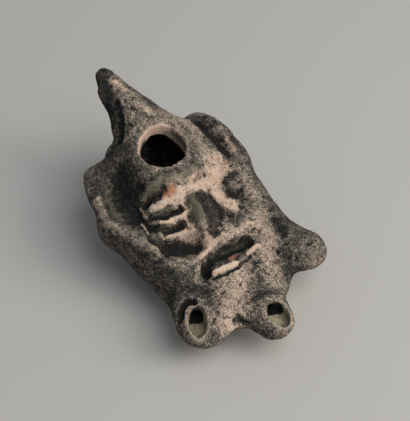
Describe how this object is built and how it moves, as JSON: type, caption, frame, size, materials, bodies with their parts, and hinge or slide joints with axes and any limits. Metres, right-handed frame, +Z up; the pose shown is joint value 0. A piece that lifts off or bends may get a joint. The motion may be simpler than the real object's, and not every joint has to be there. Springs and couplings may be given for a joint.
{
  "type": "terracotta oil lamp",
  "caption": "Hollow fired-clay oil lamp moulded as a grotesque head, with a filling hole in the crown, a lug handle at the back and fanned nozzles below the chin.",
  "frame": {"origin": "centre of the flat underside that the lamp stands on", "axes": "+Z up, -Y towards the middle nozzle, +Y towards the handle, +X towards the blind nozzle's side"},
  "size_m": [0.0587, 0.1032, 0.0476],
  "materials": {
    "fired_clay": "fired clay with a worn blackish slip, dull, sooty and dusted with beige earth, and pinkish clay bare on the face"
  },
  "bodies": {
    "root": {"lamp_body": "fired_clay"}
  },
  "joints": []
}
